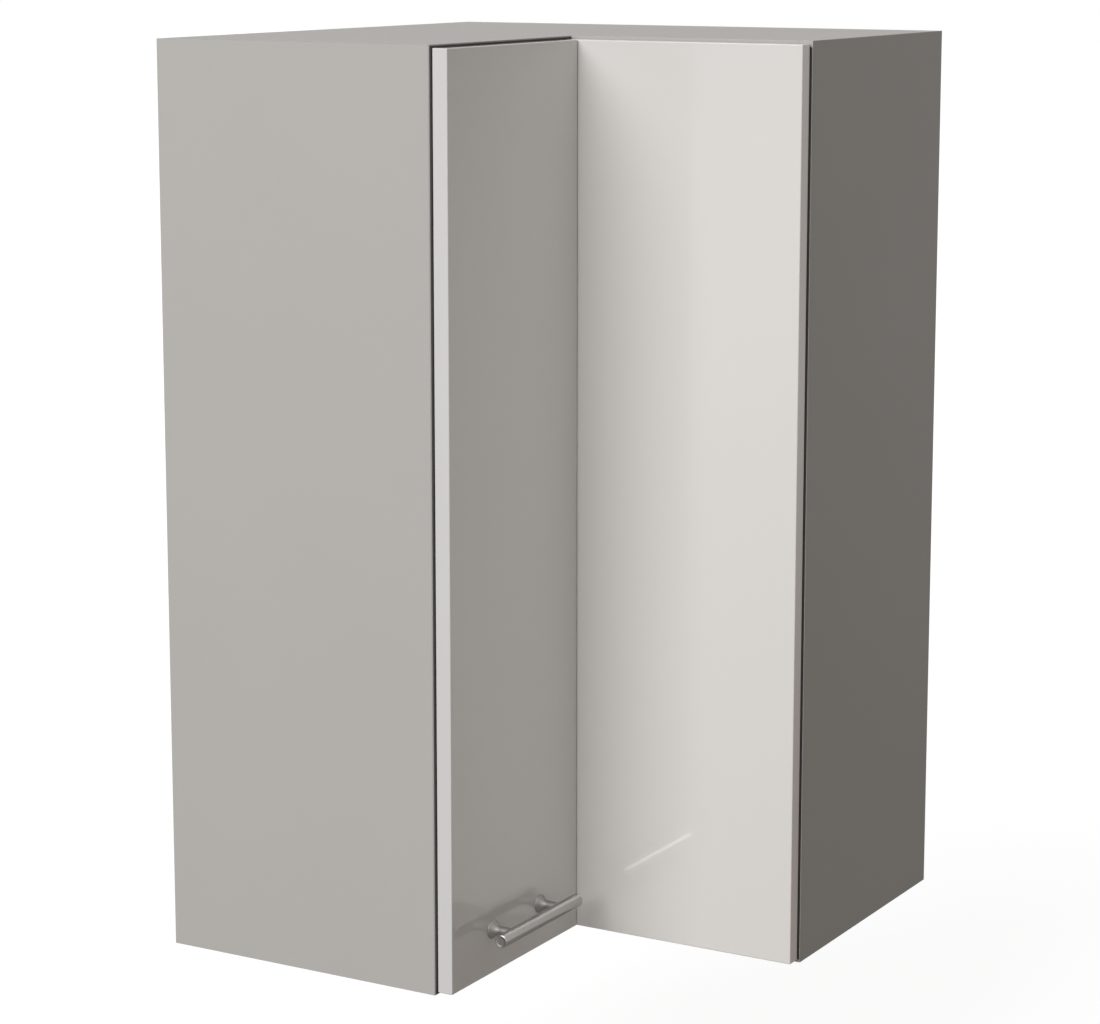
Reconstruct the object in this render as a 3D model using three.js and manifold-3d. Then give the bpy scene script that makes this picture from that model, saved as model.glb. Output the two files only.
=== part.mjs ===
// Corner wall cabinet: an L-shaped carcass of 16 mm board with a folding pair of overlay doors.
// Millimetres, +Z up. The room's corner stands behind the cabinet at (-X, +Y); the left wing runs
// along the left wall towards -Y, the right wing along the right wall towards +X.
// The origin lies at the middle of the cabinet's square, on its underside.
import * as THREE from 'three';
import { mergeVertices } from 'three/addons/utils/BufferGeometryUtils.js';
import Module from 'manifold-3d';

const wasm = await Module();
wasm.setup();

// ---- carcass ----------------------------------------------------------------------------------
const leftLeg = 600;             // length of the left wing along its wall
const rightLeg = 600;            // length of the right wing along its wall
const wingDepth = 325;           // carcass depth in front of each wall
const height = 952;
const board = 16;                // carcass board thickness
const fit = 0.3;                 // clearance kept where one piece sits in or on another
const backThickness = 3;
const backInset = 18;            // from the wall to the back panel, room for the hanging rail
const backTongue = 8;            // how deep the back panel sits in its grooves
const postSize = 40;             // square post in the rear corner
const postInset = 10;

// ---- shelves ----------------------------------------------------------------------------------
const shelfNames = ['lower', 'upper'];
const shelfThickness = 16;
const shelfPlay = 1;             // shelf to panel, all round
const shelfSetback = 20;         // shelf front edge behind the carcass front edge
const supportRadius = 2.5;
const supportHeadRadius = 3.5;
const supportDepth = 8;          // shank in the panel
const supportReach = 7;          // head under the shelf
const supportLap = 0.5;          // the shank's root in the head
const supportRear = 60;          // supports from the wall
const supportFront = 55;         // supports behind the front edge
const holePitch = 32;            // spare holes above and below each support
const postSupportInset = 10;     // support in the rear post, in from the post's front corner

// ---- doors ------------------------------------------------------------------------------------
const doorThickness = 17;
const doorStandoff = 2;          // carcass front edge to the door's back
const sideReveal = 2;            // door edge inside the carcass's outer side
const endReveal = 3;             // door edge inside the carcass's top and bottom
const seamGap = 1;               // between the two leaves at the inner corner
const doorArris = 1;             // small chamfer round each door
const hingeInset = 110;          // lowest and highest hinge from the carcass's ends

// ---- concealed hinges on the right end panel --------------------------------------------------
// u runs from the right outer side inwards, v from the carcass front edge towards the room.
const swingAxisU = 4;            // axis on which the right leaf turns
const swingAxisV = 17;
const cupRadius = 17.5;
const cupWall = 1;
const cupDepth = 11.5;
const cupEdge = 22.5;            // door edge to cup centre
const cupWingWidth = 16;
const cupWingSpan = 52;
const cupWingThickness = 1;
const cupScrewSpacing = 45;
const cupScrewRadius = 1.8;
const cupPivotU = 15;
const cupPivotV = 3.6;
const armPivotU = 33.6;
const armPivotV = -3;
const leverBendU = 26.6;         // the outer lever dips into the cup and goes round the door's edge
const leverBendV = 8.9;
const leverHalfWidth = 2.6;
const leverPinRadius = 1.1;
const innerLeverThickness = 3;
const outerLeverThickness = 4;
const layerGap = 0.4;            // between arm, inner lever and outer lever
const outerLeverBottom = -1.2;   // below the hinge's own mid height
const tongueThickness = 3;
const tongueRadius = 4;
const armPinProud = 1;           // the arm's pin past the tongue
const armRear = 78;              // arm's rear end behind the carcass front edge
const armFront = 19;
const armWidth = 19;
const armWall = 2.5;
const armHeight = 11;
const plateThickness = 2.5;
const plateLine = 37;            // screw line behind the carcass front edge
const plateSpan = 50;
const plateWingWidth = 14;
const plateRear = 75;
const plateFront = 30;
const plateScrewSpacing = 32;
const plateScrewRadius = 2.5;

// ---- fold hinges between the two leaves -------------------------------------------------------
const foldPinBehind = 4;         // behind the left leaf's back
const foldPinInward = 3;         // past the left leaf's inner end
const foldPinRadius = 1.5;
const foldPinLength = 23;
const foldEyeRadius = 3.5;
const foldFlangeThickness = 1.5;
const foldFlangeSpan = 42;
const foldFlangeMargin = 1;
const foldTongueWidth = 11.6;
const foldKnuckleWidth = 4.3;
const foldPlateThickness = 2.5;
const foldPlateLength = 42;
const foldPlateSpan = 40;
const foldPlateMargin = 2;       // right leaf's inner end to the plate
const foldLegFaceFlat = 0.7;     // the plate's leg stops short of its eye by these two flats
const foldLegRearFlat = 0.5;
const foldBridgeRise = 1;        // bridge above the plate
const foldScrewRadius = 2;
const foldScrewInset = 7;         // screw holes from the plate's ends
const foldFlangeScrewInset = 3.4; // screw holes from the flange's corners

// ---- handle -----------------------------------------------------------------------------------
const handleRadius = 7;
const handleLength = 156;
const handleSpacing = 96;
const handleReach = 35;          // door face to the outside of the bar
const handleHeight = 50;         // axis above the cabinet's underside
const handlePostRadius = 4.5;
const handleFootRadius = 10;     // each post flares to a round foot on the door
const handleFootRim = 1;
const handleFlareLength = 10;
const handleFlareSteps = 5;
const handleSocketDepth = 4;
const handleChamfer = 0.6;
const handleScrewRadius = 2;
const handleScrewHeadRadius = 4;
const handleScrewHeadHeight = 2.5;
const handleScrewGrip = 12;

// ---- wall hangers -----------------------------------------------------------------------------
const hangerLength = 64;
const hangerHeight = 42;
const hangerThickness = 18;
const hangerDrop = 6;            // below the top panel
const hookThickness = 3;
const hookHeight = 14;
const hookInset = 8;             // end panel to the hook's side
const hookWallGap = 5;
const hookReach = 55;
const hookClawLength = 12;
const hookClawThickness = 4;
const hookTravel = 6;            // room that the hook's slot leaves for adjusting
const hookNotch = 32;
const hangerScrewRadius = 3;     // screwdriver access to the two adjusting screws
const hangerScrewDepth = 5;
const hangerScrewInset = 10;

// ---- worked-out places ------------------------------------------------------------------------
const doorBack = wingDepth + doorStandoff;
const doorFace = doorBack + doorThickness;
const insideTop = height - board;
const doorBottom = endReveal;
const doorTop = height - endReveal;
const roundSides = 20;
const smallSides = 12;
const barSides = 24;
const over = 1;                  // how far a cutting tool runs past the face that it opens
const lap = 1;                   // how far joined pieces of one solid run into each other
const bayCount = shelfNames.length + 1;
const bayHeight = (height - 2 * board - shelfNames.length * shelfThickness) / bayCount;
const shelfHeights = shelfNames.map((name, index) => {
  return board + bayHeight + index * (bayHeight + shelfThickness);
});
const hingeHeights = [hingeInset, height / 2, height - hingeInset];

// ---- materials --------------------------------------------------------------------------------
function finish(color, roughness, metalness) {
  return { color, roughness, metalness };
}
const laminate = finish(0xb2b1ad, 0.55, 0);
const backBoard = finish(0xc6c5c1, 0.6, 0);
const lacquer = finish(0xe4e3e1, 0.12, 0);
const timber = finish(0xb59a72, 0.7, 0);
const nickel = finish(0xb4b5b4, 0.32, 0.9);
const satinSteel = finish(0xb9b9b6, 0.3, 0.95);
const whitePlastic = finish(0xdcdcd8, 0.5, 0);

// ---- solids -----------------------------------------------------------------------------------
function solidOf(geometry) {
  const bare = geometry.clone();
  for (const name of Object.keys(bare.attributes)) {
    if (name !== 'position') bare.deleteAttribute(name);
  }
  const merged = mergeVertices(bare, 1e-4);
  const mesh = new wasm.Mesh({
    numProp: 3,
    vertProperties: new Float32Array(merged.attributes.position.array),
    triVerts: new Uint32Array(merged.index.array),
  });
  return new wasm.Manifold(mesh);
}

function geometryOf(solid) {
  const mesh = solid.getMesh();
  const geometry = new THREE.BufferGeometry();
  geometry.setAttribute('position', new THREE.BufferAttribute(mesh.vertProperties, 3));
  geometry.setIndex(new THREE.BufferAttribute(mesh.triVerts, 1));
  geometry.computeVertexNormals();
  return geometry;
}

// join and cut take geometries and give one geometry back
function join(first, ...others) {
  let solid = solidOf(first);
  for (const other of others) solid = solid.add(solidOf(other));
  return geometryOf(solid);
}

function cut(first, ...tools) {
  let solid = solidOf(first);
  for (const tool of tools) solid = solid.subtract(solidOf(tool));
  return geometryOf(solid);
}

function boxBetween(low, high) {
  const size = high.map((value, axis) => value - low[axis]);
  const middle = high.map((value, axis) => (value + low[axis]) / 2);
  return new THREE.BoxGeometry(...size).translate(...middle);
}

function prism(shape, bottom, top, sides = smallSides) {
  const depth = top - bottom;
  const options = { depth, bevelEnabled: false, curveSegments: sides };
  return new THREE.ExtrudeGeometry(shape, options).translate(0, 0, bottom);
}

// a cylinder along one axis, its ends given on that axis; at holds the two other coordinates
function rod(axis, radius, from, to, at, sides = smallSides) {
  const geometry = new THREE.CylinderGeometry(radius, radius, to - from, sides);
  const middle = (from + to) / 2;
  if (axis === 'x') return geometry.rotateZ(-Math.PI / 2).translate(middle, at[0], at[1]);
  if (axis === 'y') return geometry.translate(at[0], middle, at[1]);
  return geometry.rotateX(Math.PI / 2).translate(at[0], at[1], middle);
}

// a bar with round ends between two points, upright thickness from bottom to top
function link(start, end, halfWidth, bottom, top) {
  const angle = Math.atan2(end[1] - start[1], end[0] - start[0]);
  const shape = new THREE.Shape();
  shape.absarc(start[0], start[1], halfWidth, angle + Math.PI / 2, angle + 1.5 * Math.PI);
  shape.absarc(end[0], end[1], halfWidth, angle - Math.PI / 2, angle + Math.PI / 2);
  shape.closePath();
  return prism(shape, bottom, top, smallSides / 2);
}

const sides = {
  left: { leg: leftLeg, at: (wall, along) => [wall, -along] },
  right: { leg: rightLeg, at: (wall, along) => [along, -wall] },
};

// a box in one wing: wall is the distance from its own wall, along runs from the room's corner
function wingBox(side, wall, along, up) {
  const a = sides[side].at(wall[0], along[0]);
  const b = sides[side].at(wall[1], along[1]);
  const low = [Math.min(a[0], b[0]), Math.min(a[1], b[1]), up[0]];
  const high = [Math.max(a[0], b[0]), Math.max(a[1], b[1]), up[1]];
  return boxBetween(low, high);
}

// a cylinder that runs along one wing
function wingRod(side, radius, wall, along, z) {
  if (side === 'right') return rod('x', radius, along[0], along[1], [-wall, z]);
  return rod('y', radius, -along[1], -along[0], [wall, z]);
}

function cornerOutline(rear, end, front) {
  const shape = new THREE.Shape();
  shape.moveTo(rear, -rear);
  shape.lineTo(rear, -(leftLeg - end));
  shape.lineTo(front, -(leftLeg - end));
  shape.lineTo(front, -front);
  shape.lineTo(rightLeg - end, -front);
  shape.lineTo(rightLeg - end, -rear);
  shape.closePath();
  return shape;
}

// ---- the model --------------------------------------------------------------------------------
const cabinet = new THREE.Group();
cabinet.position.set(-rightLeg / 2, leftLeg / 2, 0);

function addPart(name, geometry, look) {
  const mesh = new THREE.Mesh(geometry, new THREE.MeshStandardMaterial(look));
  mesh.name = name;
  cabinet.add(mesh);
}

// ---- end panels, with back grooves and shelf-support holes ------------------------------------
const supportWallPlaces = [supportRear, wingDepth - supportFront];

function supportHeight(shelfHeight) {
  return shelfHeight - fit - supportHeadRadius;
}

function supportHoles(side, innerFace) {
  const holes = [];
  for (const shelfHeight of shelfHeights) {
    for (const wall of supportWallPlaces) {
      for (const step of [-1, 0, 1]) {
        const z = supportHeight(shelfHeight) + step * holePitch;
        const along = [innerFace - over, innerFace + supportDepth + fit];
        holes.push(wingRod(side, supportRadius + fit, wall, along, z));
      }
    }
  }
  return holes;
}

const backFront = backInset + backThickness;
const backBottom = board - backTongue;
const backTop = insideTop + backTongue;
const grooveWall = [backInset - fit, backFront + fit];

for (const side of ['left', 'right']) {
  const { leg } = sides[side];
  const innerFace = leg - board;
  const panel = wingBox(side, [0, wingDepth], [innerFace, leg], [0, height]);
  const grooveAlong = [innerFace - over, innerFace + backTongue + fit];
  const groove = wingBox(side, grooveWall, grooveAlong, [backBottom - fit, backTop + fit]);
  addPart(`${side}_end_panel`, cut(panel, groove, ...supportHoles(side, innerFace)), laminate);
}

// ---- top and bottom panels --------------------------------------------------------------------
const postFront = postInset + postSize;

function grooveCutters(up) {
  const cutters = [];
  for (const side of ['left', 'right']) {
    const along = [postFront - backTongue - fit, sides[side].leg - board + over];
    cutters.push(wingBox(side, grooveWall, along, up));
  }
  return cutters;
}

const panelOutline = cornerOutline(0, board, wingDepth);
const bottomGroove = grooveCutters([backBottom - fit, board + over]);
const topGroove = grooveCutters([insideTop - over, backTop + fit]);
addPart('bottom_panel', cut(prism(panelOutline, 0, board), ...bottomGroove), laminate);
addPart('top_panel', cut(prism(panelOutline, insideTop, height), ...topGroove), laminate);

// ---- rear corner post and the two back panels -------------------------------------------------
const supportPostPlace = postFront - postSupportInset;
const postBody = boxBetween([postInset, -postFront, board], [postFront, -postInset, insideTop]);
const postCutters = [];
for (const side of ['left', 'right']) {
  const along = [postFront - backTongue - fit, postFront + over];
  postCutters.push(wingBox(side, grooveWall, along, [0, height]));
}
for (const shelfHeight of shelfHeights) {
  const along = [postFront - supportDepth - fit, postFront + over];
  const z = supportHeight(shelfHeight);
  postCutters.push(wingRod('right', supportRadius + fit, supportPostPlace, along, z));
}
addPart('rear_corner_post', cut(postBody, ...postCutters), timber);

const notchBottom = insideTop - hangerDrop - hangerHeight - fit;

for (const side of ['left', 'right']) {
  const { leg } = sides[side];
  const end = leg - board + backTongue;
  const wall = [backInset, backFront];
  const panel = wingBox(side, wall, [postFront - backTongue, end], [backBottom, backTop]);
  const notchWall = [backInset - over, backFront + over];
  const notchAlong = [end - hookNotch, end + over];
  const notch = wingBox(side, notchWall, notchAlong, [notchBottom, backTop + over]);
  addPart(`${side}_back_panel`, cut(panel, notch), backBoard);
}

// ---- shelves on their supports ----------------------------------------------------------------
const shelfRear = backFront + shelfPlay;
const shelfOutline = cornerOutline(shelfRear, board + shelfPlay, wingDepth - shelfSetback);
function supportShape(side, wall, face, z, inwards) {
  const shank = [face, face + inwards * supportDepth].sort((a, b) => a - b);
  const head = [face - inwards * supportReach, face].sort((a, b) => a - b);
  if (inwards > 0) shank[0] -= supportLap;
  else shank[1] += supportLap;
  return join(
    wingRod(side, supportRadius, wall, shank, z),
    wingRod(side, supportHeadRadius, wall, head, z),
  );
}

shelfHeights.forEach((shelfHeight, index) => {
  const name = shelfNames[index];
  const body = prism(shelfOutline, shelfHeight, shelfHeight + shelfThickness);
  const postRoom = postFront + shelfPlay;
  const low = [0, -postRoom, shelfHeight - over];
  const high = [postRoom, 0, shelfHeight + shelfThickness + over];
  addPart(`${name}_shelf`, cut(body, boxBetween(low, high)), laminate);
  const z = supportHeight(shelfHeight);
  for (const side of ['left', 'right']) {
    const face = sides[side].leg - board;
    supportWallPlaces.forEach((wall, place) => {
      const where = ['rear', 'front'][place];
      const part = supportShape(side, wall, face, z, 1);
      addPart(`${name}_shelf_support_${side}_${where}`, part, nickel);
    });
  }
  const corner = supportShape('right', supportPostPlace, postFront, z, -1);
  addPart(`${name}_shelf_support_corner`, corner, nickel);
});

// ---- doors ------------------------------------------------------------------------------------
// a slab with a small chamfer on every edge, from its low and high corners
function chamferedSlab(low, high, arris) {
  const size = high.map((value, axis) => value - low[axis]);
  const shape = new THREE.Shape();
  shape.moveTo(arris, arris);
  shape.lineTo(size[0] - arris, arris);
  shape.lineTo(size[0] - arris, size[1] - arris);
  shape.lineTo(arris, size[1] - arris);
  shape.closePath();
  const options = {
    depth: size[2] - 2 * arris,
    bevelEnabled: true,
    bevelSegments: 1,
    bevelSize: arris,
    bevelThickness: arris,
  };
  return new THREE.ExtrudeGeometry(shape, options).translate(low[0], low[1], low[2] + arris);
}

const rightDoorInner = doorBack + doorStandoff;
const rightDoorOuter = rightLeg - sideReveal;
const leftDoorInner = doorFace + seamGap;
const leftDoorOuter = leftLeg - sideReveal;
const cupFloorV = doorStandoff + cupDepth;
const cupX = rightDoorOuter - cupEdge;
const foldCupY = -(leftDoorInner + cupEdge);
const handleY = -(leftDoorInner + leftDoorOuter) / 2;
const handlePostPlaces = [handleY - handleSpacing / 2, handleY + handleSpacing / 2];

const rightSlab = chamferedSlab(
  [rightDoorInner, -doorFace, doorBottom],
  [rightDoorOuter, -doorBack, doorTop],
  doorArris,
);
const rightBores = hingeHeights.map((z) => {
  const from = -(wingDepth + cupFloorV + fit);
  return rod('y', cupRadius + fit, from, -doorBack + over, [cupX, z], roundSides);
});
addPart('right_door', cut(rightSlab, ...rightBores), lacquer);

const leftSlab = chamferedSlab(
  [doorBack, -leftDoorOuter, doorBottom],
  [doorFace, -leftDoorInner, doorTop],
  doorArris,
);
const leftBores = hingeHeights.map((z) => {
  const to = doorBack + cupDepth + fit;
  return rod('x', cupRadius + fit, doorBack - over, to, [foldCupY, z], roundSides);
});
const screwHoles = handlePostPlaces.map((y) => {
  const at = [y, handleHeight];
  return rod('x', handleScrewRadius + fit, doorBack - over, doorFace + over, at);
});
addPart('left_door', cut(leftSlab, ...leftBores, ...screwHoles), lacquer);

// ---- concealed hinges -------------------------------------------------------------------------
function hingePoint(u, v) {
  return [rightLeg - u, -(wingDepth + v)];
}

// a box given in the hinge's own u and v, with heights from the hinge's mid height
function hingeBox(u, v, up, z) {
  const a = hingePoint(u[0], v[0]);
  const b = hingePoint(u[1], v[1]);
  const low = [Math.min(a[0], b[0]), Math.min(a[1], b[1]), z + up[0]];
  const high = [Math.max(a[0], b[0]), Math.max(a[1], b[1]), z + up[1]];
  return boxBetween(low, high);
}

const outerLeverTop = outerLeverBottom + outerLeverThickness;
const innerLeverTop = outerLeverBottom - layerGap;
const innerLeverBottom = innerLeverTop - innerLeverThickness;
const tongueTop = innerLeverBottom - layerGap;
const tongueBottom = tongueTop - tongueThickness;
const leverEye = leverPinRadius + fit;
const armPivot = hingePoint(armPivotU, armPivotV);
const cupPivot = hingePoint(cupPivotU, cupPivotV);
const leverBend = hingePoint(leverBendU, leverBendV);
// The elbow closes a parallelogram with the door's turning axis, so the levers stay joined.
const elbowU = armPivotU + cupPivotU - swingAxisU;
const elbowV = armPivotV + cupPivotV - swingAxisV;
const elbow = hingePoint(elbowU, elbowV);
const plateFace = board + plateThickness;
const armTopU = plateFace + armHeight;
const channelHalf = armWidth / 2;
const railHalf = channelHalf - armWall - fit;

function hingePlate(z) {
  const half = plateSpan / 2;
  const wing = [-plateLine - plateWingWidth / 2, -plateLine + plateWingWidth / 2];
  const run = [-plateRear, -plateFront];
  const base = hingeBox([board, plateFace], run, [-channelHalf, channelHalf], z);
  const cross = hingeBox([board, plateFace], wing, [-half, half], z);
  const railTop = armTopU - armWall - fit;
  const rail = hingeBox([board, railTop], run, [-railHalf, railHalf], z);
  const y = -(wingDepth - plateLine);
  const holes = [-1, 1].map((way) => {
    const at = [y, z + (way * plateScrewSpacing) / 2];
    const along = [rightLeg - plateFace - over, rightLeg - board + over];
    return rod('x', plateScrewRadius, along[0], along[1], at);
  });
  return cut(join(base, cross, rail), ...holes);
}

function hingeArm(z) {
  const run = [-armRear, -armFront];
  const foot = plateFace + fit;
  const outer = hingeBox([foot, armTopU], run, [-channelHalf, channelHalf], z);
  const hollowHalf = channelHalf - armWall;
  const hollowRun = [-armRear - over, -armFront + over];
  const hollowDeep = [foot - over, armTopU - armWall];
  const hollow = hingeBox(hollowDeep, hollowRun, [-hollowHalf, hollowHalf], z);
  const root = hingePoint(armTopU - tongueRadius + lap, -armFront - tongueRadius - lap);
  const tongue = link(root, armPivot, tongueRadius, z + tongueBottom, z + tongueTop);
  const eye = rod('z', leverEye, z + tongueBottom - over, z + tongueTop + over, armPivot);
  return cut(join(cut(outer, hollow), tongue), eye);
}

function innerLever(z) {
  const low = z + innerLeverBottom;
  const high = z + innerLeverTop;
  const bar = link(armPivot, elbow, leverHalfWidth, low, high);
  const eye = rod('z', leverEye, low - over, high + over, armPivot);
  const pin = rod('z', leverPinRadius, low + lap, z + outerLeverTop, elbow);
  return join(cut(bar, eye), pin);
}

function outerLever(z) {
  const low = z + outerLeverBottom;
  const high = z + outerLeverTop;
  const neck = link(cupPivot, leverBend, leverHalfWidth, low, high);
  const bar = link(leverBend, elbow, leverHalfWidth, low, high);
  const eyes = [cupPivot, elbow].map((point) => {
    return rod('z', leverEye, low - over, high + over, point);
  });
  return cut(join(neck, bar), ...eyes);
}

function hingeCup(z) {
  const back = -doorBack;
  const floor = -(wingDepth + cupFloorV);
  const at = [cupX, z];
  const body = rod('y', cupRadius, floor, back, at, roundSides);
  const halfWidth = cupWingWidth / 2;
  const halfSpan = cupWingSpan / 2;
  const rim = back + cupWingThickness;
  const wings = boxBetween(
    [cupX - halfWidth, back, z - halfSpan],
    [cupX + halfWidth, rim, z + halfSpan],
  );
  const hollow = rod('y', cupRadius - cupWall, floor + cupWall, rim + over, at, roundSides);
  const screws = [-1, 1].map((way) => {
    const place = [cupX, z + (way * cupScrewSpacing) / 2];
    return rod('y', cupScrewRadius, back - over, rim + over, place);
  });
  return cut(join(body, wings), hollow, ...screws);
}

function cupPinHalfLength() {
  const inner = (cupRadius - cupWall) * Math.cos(Math.PI / roundSides);
  const offset = Math.abs(cupPivot[0] - cupX) + leverPinRadius;
  return Math.sqrt(inner * inner - offset * offset) - fit;
}

const hingeNames = ['lower', 'middle', 'upper'];
hingeHeights.forEach((z, index) => {
  const name = hingeNames[index];
  const pinHalf = cupPinHalfLength();
  const armPin = [z + tongueBottom - armPinProud, z + innerLeverTop];
  const cupPin = [z - pinHalf, z + pinHalf];
  addPart(`${name}_hinge_plate`, hingePlate(z), nickel);
  addPart(`${name}_hinge_arm`, hingeArm(z), nickel);
  addPart(`${name}_hinge_arm_pin`, rod('z', leverPinRadius, ...armPin, armPivot), nickel);
  addPart(`${name}_hinge_inner_lever`, innerLever(z), nickel);
  addPart(`${name}_hinge_outer_lever`, outerLever(z), nickel);
  addPart(`${name}_hinge_cup`, hingeCup(z), nickel);
  addPart(`${name}_hinge_cup_pin`, rod('z', leverPinRadius, ...cupPin, cupPivot), nickel);
});

// ---- fold hinges: a cup half on the left leaf, a cranked plate on the right leaf --------------
const foldPin = [doorBack - foldPinBehind, -(leftDoorInner + foldPinInward)];
const tongueHalf = foldTongueWidth / 2;
const knuckleInner = tongueHalf + layerGap;
const knuckleOuter = knuckleInner + foldKnuckleWidth;
const foldEyeHole = foldPinRadius + fit;

function foldCup(z) {
  const at = [foldCupY, z];
  const reach = cupRadius + foldFlangeMargin;
  const halfSpan = foldFlangeSpan / 2;
  const body = rod('x', cupRadius, doorBack, doorBack + cupDepth, at, roundSides);
  const flange = boxBetween(
    [doorBack - foldFlangeThickness, foldCupY - reach, z - halfSpan],
    [doorBack, foldCupY + reach, z + halfSpan],
  );
  const hollowEnd = doorBack + cupDepth - cupWall;
  const rim = doorBack - foldFlangeThickness;
  const hollow = rod('x', cupRadius - cupWall, rim - over, hollowEnd, at, roundSides);
  const notchLow = foldPin[1] - foldEyeRadius - 2 * fit;
  const notch = boxBetween(
    [rim - over, notchLow, z - knuckleInner],
    [doorBack, foldCupY + reach + over, z + knuckleInner],
  );
  let half = cut(join(body, flange), hollow, notch);
  for (const way of [-1, 1]) {
    const low = z + (way > 0 ? knuckleInner : -knuckleOuter);
    const high = z + (way > 0 ? knuckleOuter : -knuckleInner);
    const eye = rod('z', foldEyeRadius, low, high, foldPin);
    const web = boxBetween(
      [foldPin[0], foldPin[1] - 2 * foldEyeRadius, low],
      [doorBack, foldPin[1], high],
    );
    half = join(half, eye, web);
  }
  const bore = rod('z', foldEyeHole, z - knuckleOuter - over, z + knuckleOuter + over, foldPin);
  const screws = [];
  for (const across of [-1, 1]) {
    for (const up of [-1, 1]) {
      const y = foldCupY + across * (reach - foldFlangeScrewInset);
      const place = [y, z + up * (halfSpan - foldFlangeScrewInset)];
      screws.push(rod('x', cupScrewRadius, rim - over, doorBack + over, place));
    }
  }
  return cut(half, bore, ...screws);
}

function foldPlate(z) {
  const back = -doorBack;
  const top = back + foldPlateThickness;
  const start = rightDoorInner + foldPlateMargin;
  const legFace = foldPin[0] + foldEyeRadius - foldLegFaceFlat;
  const legRear = foldPin[0] - foldEyeRadius + foldLegRearFlat;
  const bridgeTop = top + foldBridgeRise;
  const base = boxBetween(
    [start, back, z - foldPlateSpan / 2],
    [start + foldPlateLength, top, z + foldPlateSpan / 2],
  );
  const bridge = boxBetween(
    [legRear, back + fit, z - tongueHalf],
    [start + foldPlateLength / 2, bridgeTop, z + tongueHalf],
  );
  const leg = boxBetween(
    [legRear, foldPin[1], z - tongueHalf],
    [legFace, bridgeTop, z + tongueHalf],
  );
  const eye = rod('z', foldEyeRadius, z - tongueHalf, z + tongueHalf, foldPin);
  const bore = rod('z', foldEyeHole, z - tongueHalf - over, z + tongueHalf + over, foldPin);
  const screws = [];
  for (const x of [start + foldScrewInset, start + foldPlateLength - foldScrewInset]) {
    for (const up of [-1, 1]) {
      const place = [x, z + up * (foldPlateSpan / 2 - foldScrewInset)];
      screws.push(rod('y', foldScrewRadius, back - over, bridgeTop + over, place));
    }
  }
  return cut(join(base, bridge, leg, eye), bore, ...screws);
}

hingeHeights.forEach((z, index) => {
  const name = hingeNames[index];
  const half = foldPinLength / 2;
  addPart(`${name}_fold_cup`, foldCup(z), nickel);
  addPart(`${name}_fold_plate`, foldPlate(z), nickel);
  addPart(`${name}_fold_pin`, rod('z', foldPinRadius, z - half, z + half, foldPin), nickel);
});

// ---- bar handle on the left leaf --------------------------------------------------------------
const barX = doorFace + handleReach - handleRadius;
const barEnds = [handleY - handleLength / 2, handleY + handleLength / 2];

function handleBar() {
  const inner = handleRadius - handleChamfer;
  const profile = [
    new THREE.Vector2(0, 0),
    new THREE.Vector2(inner, 0),
    new THREE.Vector2(handleRadius, handleChamfer),
    new THREE.Vector2(handleRadius, handleLength - handleChamfer),
    new THREE.Vector2(inner, handleLength),
    new THREE.Vector2(0, handleLength),
  ];
  const turned = new THREE.LatheGeometry(profile, barSides);
  const bar = turned.translate(barX, barEnds[0], handleHeight);
  const sockets = handlePostPlaces.map((y) => {
    const from = barX - handleRadius - over;
    const to = barX - handleRadius + handleSocketDepth + fit;
    return rod('x', handlePostRadius + fit, from, to, [y, handleHeight], roundSides);
  });
  return cut(bar, ...sockets);
}
addPart('handle_bar', handleBar(), satinSteel);

// a post along x with a hollow-curved flare at its foot
function handlePost(from, to, at) {
  const profile = [new THREE.Vector2(0, 0), new THREE.Vector2(handleFootRadius, 0)];
  for (let step = 0; step <= handleFlareSteps; step += 1) {
    const share = step / handleFlareSteps;
    const flare = (handleFootRadius - handlePostRadius) * (1 - share) ** 2;
    const along = handleFootRim + handleFlareLength * share;
    profile.push(new THREE.Vector2(handlePostRadius + flare, along));
  }
  profile.push(new THREE.Vector2(handlePostRadius, to - from), new THREE.Vector2(0, to - from));
  const turned = new THREE.LatheGeometry(profile, roundSides);
  return turned.rotateZ(-Math.PI / 2).translate(from, at[0], at[1]);
}

handlePostPlaces.forEach((y, index) => {
  const name = ['outer', 'inner'][index];
  const at = [y, handleHeight];
  const postEnd = barX - handleRadius + handleSocketDepth;
  const post = handlePost(doorFace, postEnd, at);
  const threadEnd = doorFace + handleScrewGrip;
  const thread = rod('x', handleScrewRadius + fit, doorFace - over, threadEnd + fit, at);
  const shank = rod('x', handleScrewRadius, doorBack - lap, threadEnd, at);
  const headStart = doorBack - handleScrewHeadHeight;
  const head = rod('x', handleScrewHeadRadius, headStart, doorBack, at, roundSides);
  addPart(`${name}_handle_post`, cut(post, thread), satinSteel);
  addPart(`${name}_handle_screw`, join(shank, head), nickel);
});

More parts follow.
